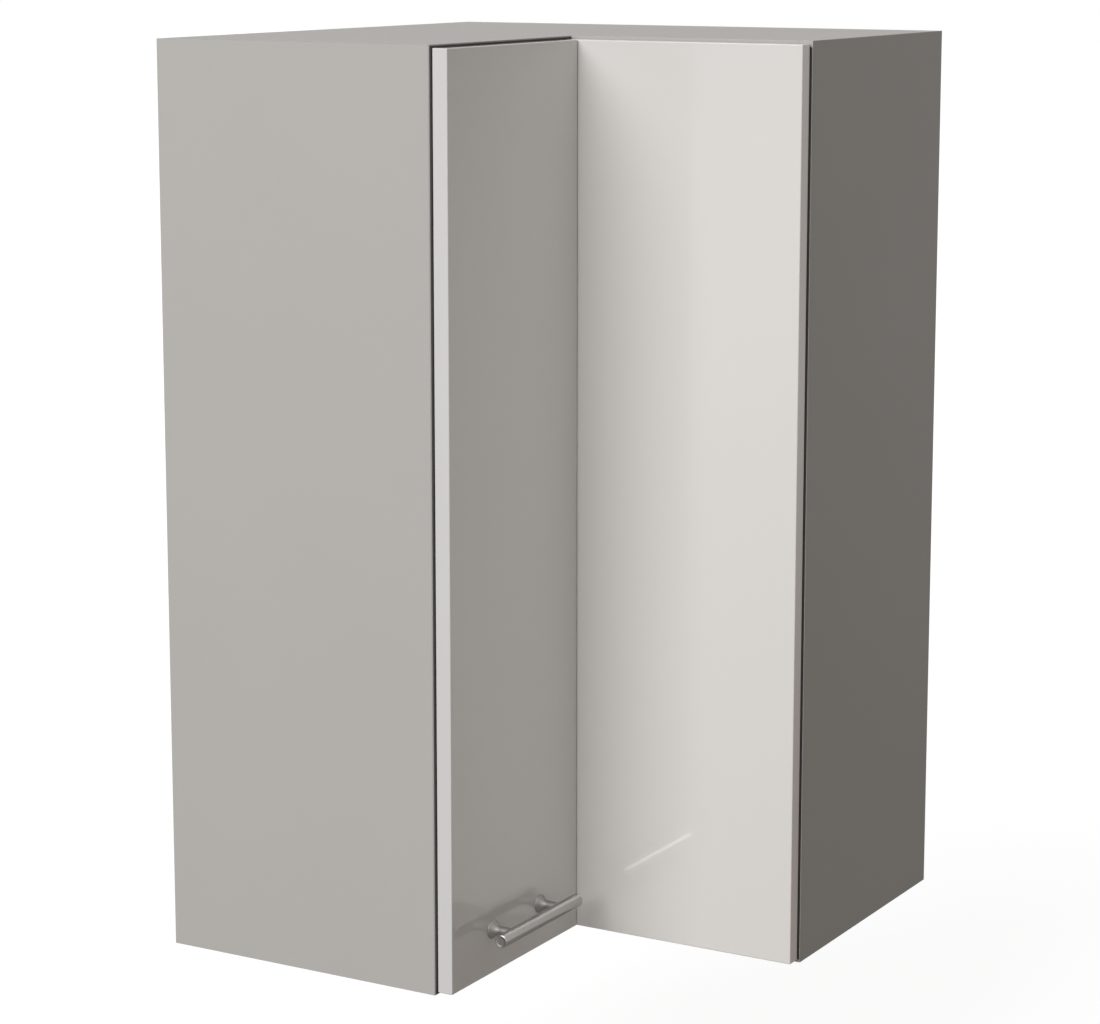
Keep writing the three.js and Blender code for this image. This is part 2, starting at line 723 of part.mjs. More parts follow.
// ---- wall hangers with adjustable hooks -------------------------------------------------------
for (const side of ['left', 'right']) {
  const face = sides[side].leg - board;
  const bodyTop = insideTop - hangerDrop;
  const bodyBottom = bodyTop - hangerHeight;
  const bodyWall = [backFront + fit, backFront + fit + hangerLength];
  const body = wingBox(side, bodyWall, [face - hangerThickness, face], [bodyBottom, bodyTop]);
  const hookAlong = [face - hookInset - hookThickness, face - hookInset];
  const hookMiddle = (bodyBottom + bodyTop) / 2;
  const hookUp = [hookMiddle - hookHeight / 2, hookMiddle + hookHeight / 2];
  const slotWall = [bodyWall[0] - over, hookWallGap + hookReach + hookTravel + fit];
  const slotAlong = [hookAlong[0] - fit, hookAlong[1] + fit];
  const slot = wingBox(side, slotWall, slotAlong, [hookUp[0] - fit, hookUp[1] + fit]);
  const access = [hangerScrewInset, 2 * hangerScrewInset + hangerScrewRadius].map((up) => {
    const from = bodyWall[1] - hangerScrewDepth;
    const middle = face - hangerThickness / 2;
    const at = sides[side].at(middle, middle);
    const z = bodyBottom + up;
    const to = bodyWall[1] + over;
    if (side === 'left') return rod('x', hangerScrewRadius, from, to, [at[1], z]);
    return rod('y', hangerScrewRadius, -to, -from, [at[0], z]);
  });
  addPart(`${side}_hanger_body`, cut(body, slot, ...access), whitePlastic);
  const strip = wingBox(side, [hookWallGap, hookWallGap + hookReach], hookAlong, hookUp);
  const clawWall = [hookWallGap, hookWallGap + hookClawThickness];
  const clawUp = [hookUp[0] - hookClawLength, hookUp[0] + lap];
  const claw = wingBox(side, clawWall, hookAlong, clawUp);
  addPart(`${side}_hanger_hook`, join(strip, claw), nickel);
}

export default cabinet;
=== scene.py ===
import math
import bmesh
import bpy
from mathutils import Matrix, Vector


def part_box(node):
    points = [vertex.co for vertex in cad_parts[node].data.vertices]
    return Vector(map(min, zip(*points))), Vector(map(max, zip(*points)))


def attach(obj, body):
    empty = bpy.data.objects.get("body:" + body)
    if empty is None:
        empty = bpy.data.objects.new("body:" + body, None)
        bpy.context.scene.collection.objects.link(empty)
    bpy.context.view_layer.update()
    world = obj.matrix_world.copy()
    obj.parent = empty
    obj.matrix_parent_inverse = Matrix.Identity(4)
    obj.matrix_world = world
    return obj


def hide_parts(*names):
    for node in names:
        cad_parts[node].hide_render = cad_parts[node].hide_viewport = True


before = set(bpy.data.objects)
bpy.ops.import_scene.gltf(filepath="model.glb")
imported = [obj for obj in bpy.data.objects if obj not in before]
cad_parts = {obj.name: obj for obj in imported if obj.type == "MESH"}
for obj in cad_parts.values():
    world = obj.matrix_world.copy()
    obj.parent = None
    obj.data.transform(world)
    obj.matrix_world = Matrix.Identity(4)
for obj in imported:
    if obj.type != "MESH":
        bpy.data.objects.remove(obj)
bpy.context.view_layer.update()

scene = bpy.context.scene
mm = 0.001


# where the photograph was taken from, in metres and degrees
view = {
    "place": (1.60805, -2.80015, 1.06882),
    "turn": 30.098,        # degrees to the left of +Y
    "tilt": 9.786,         # degrees below level
    "lens": 100.41,
    "rise": -0.05636,      # small upright shift of the film
    "film": 36,
}
lens = bpy.data.cameras.new("camera")
lens.sensor_width = view["film"]
lens.lens = view["lens"]
lens.shift_y = view["rise"]
lens.clip_start, lens.clip_end = 0.1, 60
camera = bpy.data.objects.new("camera", lens)
camera.location = view["place"]
camera.rotation_euler = (math.radians(90 - view["tilt"]), 0, math.radians(view["turn"]))
scene.collection.objects.link(camera)
scene.camera = camera
scene.view_settings.view_transform = "Standard"
print("camera set")

studio = {
    "keyWay": (-0.09, -0.852, 0.52),  # from the cabinet to the big soft lamp
    "keyAway": 20.0,
    "keySize": 16.0,
    "keyLevel": 0.965,                # 1 lights a facing white sheet to white
    "keyAim": 0.476,                  # the height that it points at
    "fill": 0.173,                    # what the studio gives from all round
    "fillColour": (1.0, 0.955, 0.925),
    "gloss": 0.9,                     # the studio as polished surfaces see it
    "floorColour": (0.43, 0.385, 0.35),
    "floorWhite": 1.13,               # only as the camera sees the floor
    "floorFar": 0.13,                 # added where it runs out of sight
    "floorGloss": 0.10,               # how white polished surfaces see it close by
    "floorGlossFar": 0.65,
    "floorHalf": 30.0,
    "floorDrop": 0.30,                # the cabinet hangs above it
    "shadowKept": 0.2,                # how much of the shadow the camera sees
    "shadowReach": 6.0,
}


class Wire:  # one output of a node; sums written with it add Math nodes
    def __init__(self, finish, socket):
        self.finish = finish
        self.socket = socket

    def maths(self, operation, first, second):
        return self.finish.node("Math", {"operation": operation}, {0: first, 1: second})

    def __add__(self, other):
        return self.maths("ADD", self, other)

    def __sub__(self, other):
        return self.maths("SUBTRACT", self, other)

    def __rsub__(self, other):
        return self.maths("SUBTRACT", other, self)

    def __mul__(self, other):
        return self.maths("MULTIPLY", self, other)

    def __gt__(self, other):
        return self.maths("GREATER_THAN", self, other)

    def __pow__(self, other):
        return self.maths("POWER", self, other)

    __radd__ = __add__
    __rmul__ = __mul__


class Finish:  # a node material, its nodes added one by one
    def __init__(self, owner):
        self.owner = owner
        owner.use_nodes = True
        self.tree = owner.node_tree
        self.tree.nodes.clear()

    def node(self, kind, settings=None, inputs=None, output=0):
        made = self.tree.nodes.new("ShaderNode" + kind)
        for key, value in (settings or {}).items():
            if key == "stops":
                while len(made.color_ramp.elements) < len(value):
                    made.color_ramp.elements.new(0.5)
                for stop, (where, colour) in zip(made.color_ramp.elements, value):
                    stop.position = where
                    stop.color = (*colour, 1) if len(colour) == 3 else colour
            else:
                setattr(made, key, value)
        for key, value in (inputs or {}).items():
            socket = made.inputs[key]
            if isinstance(value, Wire):
                self.tree.links.new(value.socket, socket)
            elif socket.type == "RGBA" and len(value) == 3:
                socket.default_value = (*value, 1)
            else:
                socket.default_value = value
        return Wire(self, made.outputs[output]) if made.outputs else made

    def place(self):  # the piece's own coordinates, in metres
        return self.node("TexCoord", output="Object")

    def along(self, axis):  # how far a point lies along one axis
        return self.node("SeparateXYZ", {}, {"Vector": self.place()}, axis)

    def noise(self, scale, detail=2.0, stretch=(1, 1, 1)):
        where = self.node("Mapping", {}, {"Vector": self.place(), "Scale": stretch})
        return self.node("TexNoise", {}, {"Vector": where, "Scale": scale, "Detail": detail})

    def mix(self, factor, first, second):
        return self.node("Mix", {"data_type": "RGBA"}, {0: factor, 6: first, 7: second}, 2)

    def bump(self, height, depth, strength):  # depth in metres
        return self.node("Bump", {}, {"Height": height, "Distance": depth, "Strength": strength})

    def shade(self, **values):
        named = {key.replace("_", " "): value for key, value in values.items()}
        shader = self.node("BsdfPrincipled", {}, named)
        self.node("OutputMaterial", {}, {"Surface": shader})
        return self.owner


def finish(name):
    return Finish(bpy.data.materials.new(name))


def tone(colour, factor):  # the same colour, lighter or darker
    return tuple(min(1, part * factor) for part in colour)


def makeFloor():
    half = studio["floorHalf"]
    shape = bmesh.new()
    bmesh.ops.create_grid(shape, x_segments=2, y_segments=2, size=half)
    data = bpy.data.meshes.new("floor")
    shape.to_mesh(data)
    shape.free()
    floor = bpy.data.objects.new("floor", data)
    floor.location.z = -studio["floorDrop"]
    scene.collection.objects.link(floor)
    paint = finish("pale floor")
    seen = paint.node("LightPath", output="Is Camera Ray")
    glossy = paint.node("LightPath", output="Is Glossy Ray")
    colour = paint.mix(seen, studio["floorColour"], (1, 1, 1))
    matt = paint.node("BsdfDiffuse", {}, {"Color": colour})
    reach = paint.node("VectorMath", {"operation": "LENGTH"}, {0: paint.place()}, "Value")
    far = paint.node("Math", {"operation": "DIVIDE", "use_clamp": True},
                     {0: reach, 1: studio["shadowReach"]})
    level = 1 + seen * (far * studio["floorFar"] + (studio["floorWhite"] - 1))
    white = paint.node("Emission", {}, {"Color": (1, 1, 1), "Strength": level})
    mirrored = far * (studio["floorGlossFar"] - studio["floorGloss"]) + studio["floorGloss"]
    share = seen * (1 - studio["shadowKept"]) + glossy * mirrored
    mixed = paint.node("MixShader", {}, {0: share, 1: matt, 2: white})
    paint.node("OutputMaterial", {}, {"Surface": mixed})
    data.materials.append(paint.owner)


def makeStudioLight():
    world = bpy.data.worlds.new("studio")
    scene.world = world
    around = Finish(world)
    seen = around.node("LightPath", output="Is Camera Ray")
    glossy = around.node("LightPath", output="Is Glossy Ray")
    level = studio["fill"] + seen * (1 - studio["fill"])
    level = level + glossy * (studio["gloss"] - studio["fill"])
    colour = around.mix(seen, studio["fillColour"], (1, 1, 1))
    sky = around.node("Background", {}, {"Color": colour, "Strength": level})
    around.node("OutputWorld", {}, {"Surface": sky})


def makeKeyLamp():
    away = studio["keyAway"]
    way = Vector(studio["keyWay"]).normalized()
    lamp = bpy.data.lights.new("soft key", "AREA")
    lamp.shape = "DISK"
    lamp.size = studio["keySize"]
    lamp.energy = studio["keyLevel"] * math.pi ** 2 * away ** 2
    key = bpy.data.objects.new("soft key", lamp)
    key.location = way * away + Vector((0, 0, studio["keyAim"]))
    key.rotation_mode = "QUATERNION"
    key.rotation_quaternion = way.to_track_quat("Z", "Y")
    key.visible_camera = False
    scene.collection.objects.link(key)


makeFloor()
makeStudioLight()
makeKeyLamp()
print("studio set")


# the finishes, each with its own values on its first line
def makeLaminate():
    look = {"colour": (0.446, 0.442, 0.426), "rough": 0.48, "pearl": 1700, "depth": 0.00004}
    paint = finish("light grey melamine")
    cloud = paint.noise(7, 3)
    pearl = paint.noise(look["pearl"])
    colour = paint.mix(cloud, tone(look["colour"], 0.985), tone(look["colour"], 1.015))
    colour = paint.mix(pearl * 0.10, colour, tone(look["colour"], 1.12))
    rough = look["rough"] + (pearl - 0.5) * 0.12 + (cloud - 0.5) * 0.05
    grain = paint.bump(pearl, look["depth"], 0.5)
    return paint.shade(Base_Color=colour, Roughness=rough, Normal=grain)


def makeEdgeBand():
    look = {"colour": (0.444, 0.440, 0.424), "rough": 0.38, "streak": 60, "depth": 0.00003}
    paint = finish("light grey edge band")
    streak = paint.noise(look["streak"], 3, (1, 1, 26))
    fine = paint.noise(900, 1)
    colour = paint.mix(streak, tone(look["colour"], 0.975), tone(look["colour"], 1.01))
    rough = look["rough"] + (streak - 0.5) * 0.12
    grain = paint.bump(fine, look["depth"], 0.4)
    return paint.shade(Base_Color=colour, Roughness=rough, Normal=grain)


def makeRawBoard():
    look = {"pale": (0.56, 0.41, 0.25), "dark": (0.25, 0.16, 0.085),
            "chips": 620, "flakes": 1500, "depth": 0.00015}
    paint = finish("raw chipboard")
    place = paint.place()
    chips = paint.node("TexVoronoi", {}, {"Vector": place, "Scale": look["chips"]}, "Color")
    flakes = paint.node("TexVoronoi", {}, {"Vector": place, "Scale": look["flakes"]}, "Color")
    speck = paint.noise(1400, 3)
    stops = [(0.2, look["dark"]), (0.5, tone(look["pale"], 0.85)), (0.85, tone(look["pale"], 1.2))]
    mottle = chips * 0.4 + flakes * 0.3 + speck * 0.3
    ramp = paint.node("ValToRGB", {"stops": stops}, {"Fac": mottle})
    grain = paint.bump(mottle, look["depth"], 0.7)
    return paint.shade(Base_Color=ramp, Roughness=0.85, Normal=grain)


def makeBackBoard():  # smooth paint inside, a thin coat with the fibres showing at the wall
    look = {"colour": (0.56, 0.552, 0.53), "thin": (0.50, 0.47, 0.425), "rough": 0.55,
            "thinFrom": 0.2806, "depth": 0.00008}
    paint = finish("painted fibreboard")
    cloud = paint.noise(14, 4)
    fibre = paint.noise(700, 4, (1, 1, 0.35))
    fleck = paint.noise(260, 5)
    painted = paint.mix(cloud, tone(look["colour"], 0.96), tone(look["colour"], 1.03))
    thin = paint.mix(fleck, tone(look["thin"], 0.90), tone(look["thin"], 1.10))
    outside = (-look["thinFrom"] - paint.along("X") > 0) + (paint.along("Y") > look["thinFrom"])
    colour = paint.mix(outside, painted, thin)
    rough = look["rough"] + outside * 0.15 + (fibre - 0.5) * 0.2
    grain = paint.bump(fibre + fleck * outside, look["depth"], 0.6)
    return paint.shade(Base_Color=colour, Roughness=rough, Normal=grain)


def makeLacquer():
    look = {"colour": (0.725, 0.716, 0.70), "rough": 0.22, "clear": 0.03,
            "peel": 190, "depth": 0.00001}
    paint = finish("gloss light grey lacquer")
    cloud = paint.noise(3.5)
    peel = paint.noise(look["peel"], 1)
    colour = paint.mix(cloud, tone(look["colour"], 0.99), tone(look["colour"], 1.01))
    rough = look["rough"] + (peel - 0.5) * 0.04
    skin = paint.bump(peel, look["depth"], 0.35)
    return paint.shade(
        Base_Color=colour, Roughness=rough, Normal=skin,
        Coat_Weight=1.0, Coat_Roughness=look["clear"],
    )


def makeDoorEdge(colour, name):
    look = {"colour": colour, "rough": 0.24, "clear": 0.06}
    paint = finish(name)
    streak = paint.noise(40, 3, (1, 1, 0.06))
    colour = paint.mix(streak, tone(look["colour"], 0.98), tone(look["colour"], 1.015))
    rough = look["rough"] + (streak - 0.5) * 0.08
    return paint.shade(
        Base_Color=colour, Roughness=rough, Coat_Weight=1.0, Coat_Roughness=look["clear"],
    )


def makeDoorBack():
    look = {"colour": (0.66, 0.652, 0.635), "rough": 0.5, "pearl": 1500, "depth": 0.00003}
    paint = finish("matt door back")
    cloud = paint.noise(9, 3)
    pearl = paint.noise(look["pearl"])
    colour = paint.mix(cloud, tone(look["colour"], 0.985), tone(look["colour"], 1.015))
    rough = look["rough"] + (pearl - 0.5) * 0.12
    grain = paint.bump(pearl, look["depth"], 0.5)
    return paint.shade(Base_Color=colour, Roughness=rough, Normal=grain)


def makeTimber():
    look = {"pale": (0.56, 0.395, 0.215), "dark": (0.37, 0.235, 0.108),
            "rings": 42, "heart": (0.31, -0.22, 0), "pores": 900, "depth": 0.00008}
    paint = finish("planed softwood")
    wander = paint.noise(9, 3, (1, 1, 0.12))
    trunk = paint.node("Mapping", {}, {
        "Vector": paint.place(), "Location": look["heart"], "Scale": (1, 1, 0.05)})
    rings = paint.node("TexWave", {"wave_type": "RINGS", "rings_direction": "Z"}, {
        "Vector": trunk, "Scale": look["rings"], "Distortion": 6.0, "Detail": 3,
        "Detail Scale": 0.8})
    pores = paint.noise(look["pores"], 3, (1, 1, 0.04))
    late = rings ** 3  # the darker wood of each ring is narrow
    colour = paint.mix(late * 0.5 + wander * 0.3, look["pale"], look["dark"])
    colour = paint.mix(pores * 0.2, colour, tone(look["dark"], 0.8))
    rough = 0.62 + (pores - 0.5) * 0.2
    grain = paint.bump(pores + late * 0.3, look["depth"], 0.5)
    return paint.shade(Base_Color=colour, Roughness=rough, Normal=grain)


def makeNickel():
    look = {"colour": (0.60, 0.60, 0.585), "rough": 0.26, "press": 850, "depth": 0.00003}
    paint = finish("nickel plate")
    cloud = paint.noise(60, 3)
    press = paint.noise(look["press"], 3)
    colour = paint.mix(cloud, tone(look["colour"], 0.93), tone(look["colour"], 1.04))
    rough = look["rough"] + (cloud - 0.5) * 0.14 + (press - 0.5) * 0.08
    grain = paint.bump(press, look["depth"], 0.35)
    return paint.shade(Base_Color=colour, Roughness=rough, Normal=grain, Metallic=1.0)


def makeSatinSteel():
    look = {"colour": (0.43, 0.425, 0.415), "rough": 0.24, "brush": 2200, "depth": 0.00002}
    paint = finish("satin steel")
    brush = paint.noise(look["brush"], 2, (1, 0.02, 1))
    cloud = paint.noise(35)
    colour = paint.mix(cloud, tone(look["colour"], 0.96), tone(look["colour"], 1.03))
    rough = look["rough"] + (brush - 0.5) * 0.12
    grain = paint.bump(brush, look["depth"], 0.4)
    return paint.shade(Base_Color=colour, Roughness=rough, Normal=grain, Metallic=1.0)


def makePostSteel():
    look = {"colour": (0.34, 0.336, 0.328), "rough": 0.56, "turned": 1900, "depth": 0.00002}
    paint = finish("satin handle post")
    turned = paint.noise(look["turned"], 2, (0.02, 1, 1))
    cloud = paint.noise(90)
    colour = paint.mix(cloud, tone(look["colour"], 0.95), tone(look["colour"], 1.04))
    rough = look["rough"] + (turned - 0.5) * 0.12
    grain = paint.bump(turned, look["depth"], 0.4)
    return paint.shade(Base_Color=colour, Roughness=rough, Normal=grain, Metallic=1.0)


def makeWhitePlastic():
    look = {"colour": (0.716, 0.716, 0.687), "rough": 0.42, "spark": 1300, "depth": 0.00005}
    paint = finish("moulded white plastic")
    spark = paint.noise(look["spark"])
    cloud = paint.noise(25)
    colour = paint.mix(cloud, tone(look["colour"], 0.97), tone(look["colour"], 1.02))
    rough = look["rough"] + (spark - 0.5) * 0.16
    grain = paint.bump(spark, look["depth"], 0.5)
    return paint.shade(Base_Color=colour, Roughness=rough, Normal=grain)


# near-black finish for the strips behind the leaves: painted shade for the gaps between the leaves
# and the carcass
def makeShadeLook():
    look = {"colour": (0.03, 0.03, 0.028), "rough": 0.75, "pile": 2600, "depth": 0.0001}
    paint = finish("dark strip of painted shade")
    cloud = paint.noise(200)
    pile = paint.noise(look["pile"])
    colour = paint.mix(cloud, tone(look["colour"], 0.8), tone(look["colour"], 1.3))
    rough = look["rough"] + (pile - 0.5) * 0.2
    grain = paint.bump(pile, look["depth"], 0.7)
    return paint.shade(Base_Color=colour, Roughness=rough, Normal=grain)


def makeSoftBuffer():
    look = {"colour": (0.62, 0.62, 0.60), "rough": 0.3, "milky": 0.3, "reach": (0.002,) * 3}
    paint = finish("milky soft buffer")
    cloud = paint.noise(300)
    colour = paint.mix(cloud, tone(look["colour"], 0.94), tone(look["colour"], 1.05))
    rough = look["rough"] + (cloud - 0.5) * 0.12
    return paint.shade(
        Base_Color=colour, Roughness=rough, Subsurface_Weight=look["milky"],
        Subsurface_Radius=look["reach"],
    )


laminate = makeLaminate()
edgeBand = makeEdgeBand()
rawBoard = makeRawBoard()
backBoard = makeBackBoard()
lacquer = makeLacquer()
doorEdge = makeDoorEdge((0.65, 0.648, 0.648), "gloss door edge")
# a paler, warmer copy of the edge finish for the right leaf: painted light standing in for the
# bright sheen on its edges
paintedLightEdge = makeDoorEdge((0.88, 0.82, 0.785), "gloss door edge with painted light")
doorBack = makeDoorBack()
timber = makeTimber()
nickel = makeNickel()
satinSteel = makeSatinSteel()
postSteel = makePostSteel()
whitePlastic = makeWhitePlastic()
softBuffer = makeSoftBuffer()
shadeLook = makeShadeLook()
print("finishes mixed")


# steps that the pieces share
def loose(name, shape, looks=()):  # an object from mesh code, not on a body yet
    data = bpy.data.meshes.new(name)
    bmesh.ops.recalc_face_normals(shape, faces=shape.faces)
    shape.to_mesh(data)
    shape.free()
    for look in looks:
        data.materials.append(look)
    made = bpy.data.objects.new(name, data)
    scene.collection.objects.link(made)
    return made


def sharpen(made, angle):  # edges that turn more than this many degrees stay sharp
    made.data.set_sharp_from_angle(angle=math.radians(angle))


def piece(name, shape, looks, body, smoothTo=35):
    made = loose(name, shape, looks)
    made.data.shade_smooth()
    sharpen(made, smoothTo)
    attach(made, body)
    return made


def trueNormals(made):  # flat faces stay flat beside their rounded edges
    keep = made.modifiers.new("weighted normals", "WEIGHTED_NORMAL")
    keep.keep_sharp = True


def carve(made, cutter, crossing=False):  # takes the cutter's volume out of a piece
    tool = loose("cutter", cutter)
    take = made.modifiers.new("carve", "BOOLEAN")
    take.operation = "DIFFERENCE"
    take.solver = "EXACT"
    take.object = tool
    take.use_self = crossing
    graph = bpy.context.evaluated_depsgraph_get()
    data = bpy.data.meshes.new_from_object(made.evaluated_get(graph))
    made.modifiers.clear()
    made.data = data
    bpy.data.objects.remove(tool)
    return made


def pour(shape, made):  # adds a loose object's mesh to a shape and lets the object go
    shape.from_mesh(made.data)
    bpy.data.objects.remove(made)


def roundEdges(shape, verts, radius, steps):
    if radius:
        edges = list(dict.fromkeys(edge for vert in verts for edge in vert.link_edges))
        bmesh.ops.bevel(shape, geom=edges, offset=radius, segments=steps, profile=0.5,
                        affect="EDGES")


def addSlab(shape, low, high, radius, steps=2):
    size = Vector(high) - Vector(low)
    centre = (Vector(high) + Vector(low)) / 2
    spot = Matrix.Translation(centre) @ Matrix.Diagonal((*size, 1))
    made = bmesh.ops.create_cube(shape, size=1, matrix=spot)
    roundEdges(shape, made["verts"], radius, steps)


def addOutline(shape, outline, bottom, top, radius, steps=2):
    verts = [shape.verts.new((x, y, bottom)) for x, y in outline]
    base = shape.faces.new(verts)
    raised = bmesh.ops.extrude_face_region(shape, geom=[base])
    upper = [item for item in raised["geom"] if isinstance(item, bmesh.types.BMVert)]
    bmesh.ops.translate(shape, verts=upper, vec=(0, 0, top - bottom))
    roundEdges(shape, verts + upper, radius, steps)


def turning(way):  # a matrix that lays a turned piece's own axis along way
    return Vector(way).to_track_quat("Z", "Y").to_matrix().to_4x4()


def addTurned(shape, profile, place, way, sides):  # the profile is (radius, along) pairs
    spot = Matrix.Translation(place) @ turning(way)
    rings = []
    for radius, along in profile:
        if not radius:  # a point on the axis
            rings.append([shape.verts.new(spot @ Vector((0, 0, along)))])
            continue
        ring = []
        for step in range(sides):
            angle = 2 * math.pi * step / sides
            point = Vector((radius * math.cos(angle), radius * math.sin(angle), along))
            ring.append(shape.verts.new(spot @ point))
        rings.append(ring)
    for low, high in zip(rings, rings[1:]):
        for step in range(sides):
            after = (step + 1) % sides
            corners = list(dict.fromkeys([
                low[step % len(low)], low[after % len(low)],
                high[after % len(high)], high[step % len(high)],
            ]))
            if len(corners) > 2:
                shape.faces.new(corners)
    for ring in (rings[0], rings[-1]):
        if len(ring) > 1:
            shape.faces.new(ring)


def addRod(shape, start, end, radius, sides):
    way = Vector(end) - Vector(start)
    profile = [(0, 0), (radius, 0), (radius, way.length), (0, way.length)]
    addTurned(shape, profile, start, way, sides)


def millimetres(profile):
    return [(radius * mm, along * mm) for radius, along in profile]


def middle(node):
    low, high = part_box(node)
    return (low + high) / 2


def lookBy(made, chooser):  # gives each face the material that chooser names
    for face in made.data.polygons:
        face.material_index = chooser(face.center, face.normal)


hingeNames = ("lower", "middle", "upper")
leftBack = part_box("left_door")[0].x    # where each leaf's back lies
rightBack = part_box("right_door")[1].y
foldReach = 18.5  # mm, from a fold cup's side to the middle of its bowl
square = 0.7      # a face looks along a way when its normal goes this far along it

# the two leaves, bored for their cups and for the handle's screws
door = {
    "radius": 1.2 * mm,
    "steps": 4,
    "cupBore": (17.8 * mm, 11.8 * mm, 64),  # radius, depth and sides
    "screwHole": (2.3 * mm, 30 * mm, 24),
    "before": 4 * mm,        # where a drill starts, clear of the board
    "frontFrom": 0.5,        # how far the front's finish goes round its rounded edges
    "sharp": 35,
}


def foldMiddle(name):
    spot = middle(f"{name}_fold_cup")
    spot.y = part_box(f"{name}_fold_cup")[0].y + foldReach * mm
    return spot


def makeDoor(node, name, body, way, edge, cups, screwHoles=()):  # way is where its front looks
    low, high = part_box(node)
    shape = bmesh.new()
    addSlab(shape, low, high, door["radius"], door["steps"])
    made = piece(name, shape, [lacquer, edge, doorBack], body)
    axis = 0 if way[0] else 1
    back = low[axis] if way[axis] > 0 else high[axis]
    front = Vector(way)
    bores = [(spot, door["cupBore"]) for spot in cups]
    bores += [(spot, door["screwHole"]) for spot in screwHoles]
    cutter = bmesh.new()
    for spot, (radius, deep, sides) in bores:
        spot[axis] = back
        addRod(cutter, spot - front * door["before"], spot + front * deep, radius, sides)
    carve(made, cutter)

    def choose(centre, normal):
        facing = normal.dot(front)
        if facing > door["frontFrom"]:
            return 0
        return 2 if facing < -square else 1

    lookBy(made, choose)
    sharpen(made, door["sharp"])
    trueNormals(made)
    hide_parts(node)


# the right leaf's edges take the paler edge finish, which is painted light
makeDoor("right_door", "rightDoorLeaf", "right_leaf", (0, -1, 0), paintedLightEdge,
         [middle(f"{name}_hinge_cup") for name in hingeNames])
makeDoor("left_door", "leftDoorLeaf", "left_leaf", (1, 0, 0), doorEdge,
         [foldMiddle(name) for name in hingeNames],
         [middle(f"{end}_handle_screw") for end in ("outer", "inner")])
print("doors hung")


# the carcass boards, with edge bands in front and raw chipboard at the rear
boards = {
    "arris": 0.25 * mm,
    "band": 1.0 * mm,
    "bandRound": 0.48 * mm,
    "innerBandRound": 0.4 * mm,
    "hole": 2.8 * mm,
    "holeDepth": 8.3 * mm,
    "holeSides": 24,
    "holeStep": 32 * mm,      # from a support to its spare holes
    "before": 2 * mm,         # where a cut starts, clear of the board
    "play": 0.3 * mm,         # round a back panel in its grooves
    "setBack": 20 * mm,       # a shelf's front edge from the carcass's
    "postRoom": 1.0 * mm,     # between the corner post and a shelf's notch
}


def showCore(made, x, y):  # raw chipboard on the edges that look to the rear
    def choose(centre, normal):
        atX = x is not None and centre.x < x + mm and normal.x < -square
        atY = y is not None and centre.y > y - mm and normal.y > square
        return 1 if atX or atY else 0

    lookBy(made, choose)


def groove(side):  # the back panel's own box, with play all round
    low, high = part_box(f"{side}_back_panel")
    play = Vector((boards["play"],) * 3)
    return low - play, high + play


def makeEndPanel(side):
    node = f"{side}_end_panel"
    low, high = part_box(node)
    grooveLow, grooveHigh = groove(side)
    band = boards["band"]
    shape, bandShape, cutter = bmesh.new(), bmesh.new(), bmesh.new()
    if side == "left":
        inner, axis, into, core = high.y, 1, Vector((0, -1, 0)), (low.x, None)
        grooveHigh.y = inner + boards["before"]
        addSlab(shape, low, (high.x - band, high.y, high.z), boards["arris"])
        addSlab(bandShape, (high.x - band, low.y, low.z), high, boards["bandRound"], 3)
    else:
        inner, axis, into, core = low.x, 0, Vector((1, 0, 0)), (None, high.y)
        grooveLow.x = inner - boards["before"]
        addSlab(shape, (low.x, low.y + band, low.z), high, boards["arris"])
        addSlab(bandShape, low, (high.x, low.y + band, high.z), boards["bandRound"], 3)
    made = piece(f"{side}EndBoard", shape, [laminate, rawBoard], "carcass")
    for shelf in ("lower", "upper"):
        for where in ("rear", "front"):
            for step in (-1, 0, 1):
                start = middle(f"{shelf}_shelf_support_{side}_{where}")
                start.z += step * boards["holeStep"]
                start[axis] = inner
                addRod(cutter, start - into * boards["before"],
                       start + into * boards["holeDepth"], boards["hole"], boards["holeSides"])
    addSlab(cutter, grooveLow, grooveHigh, 0)
    carve(made, cutter)
    showCore(made, *core)
    trueNormals(made)
    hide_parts(node)
    trueNormals(piece(f"{side}EndBand", bandShape, [edgeBand], "carcass"))


def makeCornerBoard(node, name, shelf=False):
    low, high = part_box(node)
    rear, end = high.y, high.x
    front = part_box("left_end_panel")[1].x - (boards["setBack"] if shelf else 0)
    body = front - boards["band"]
    outline = [(-rear, rear), (-rear, -end), (body, -end), (body, -body), (end, -body),
               (end, rear)]
    if shelf:
        notch = -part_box("rear_corner_post")[1].x - boards["postRoom"]
        outline[:1] = [(-notch, rear), (-notch, notch), (-rear, notch)]
    shape = bmesh.new()
    addOutline(shape, outline, low.z, high.z, boards["arris"])
    made = piece(name, shape, [laminate, rawBoard], "carcass")
    if not shelf:
        cutter = bmesh.new()
        for side in ("left", "right"):
            addSlab(cutter, *groove(side), 0)
        carve(made, cutter)
    showCore(made, -rear, rear)
    trueNormals(made)
    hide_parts(node)
    strip = bmesh.new()
    outline = [(front, -end), (front, -front), (end, -front), (end, -body), (body, -body),
               (body, -end)]
    addOutline(strip, outline, low.z, high.z, boards["innerBandRound"], 3)
    trueNormals(piece(name + "Band", strip, [edgeBand], "carcass"))


for side in ("left", "right"):
    makeEndPanel(side)
for which in ("bottom", "top"):
    makeCornerBoard(f"{which}_panel", f"{which}Board")
for which in ("lower", "upper"):
    makeCornerBoard(f"{which}_shelf", f"{which}ShelfBoard", shelf=True)
print("carcass boards made")


# solids that stay, with a better finish and soft edges
softEdge = {"radius": 0.25 * mm, "steps": 2, "sharpFrom": 32}


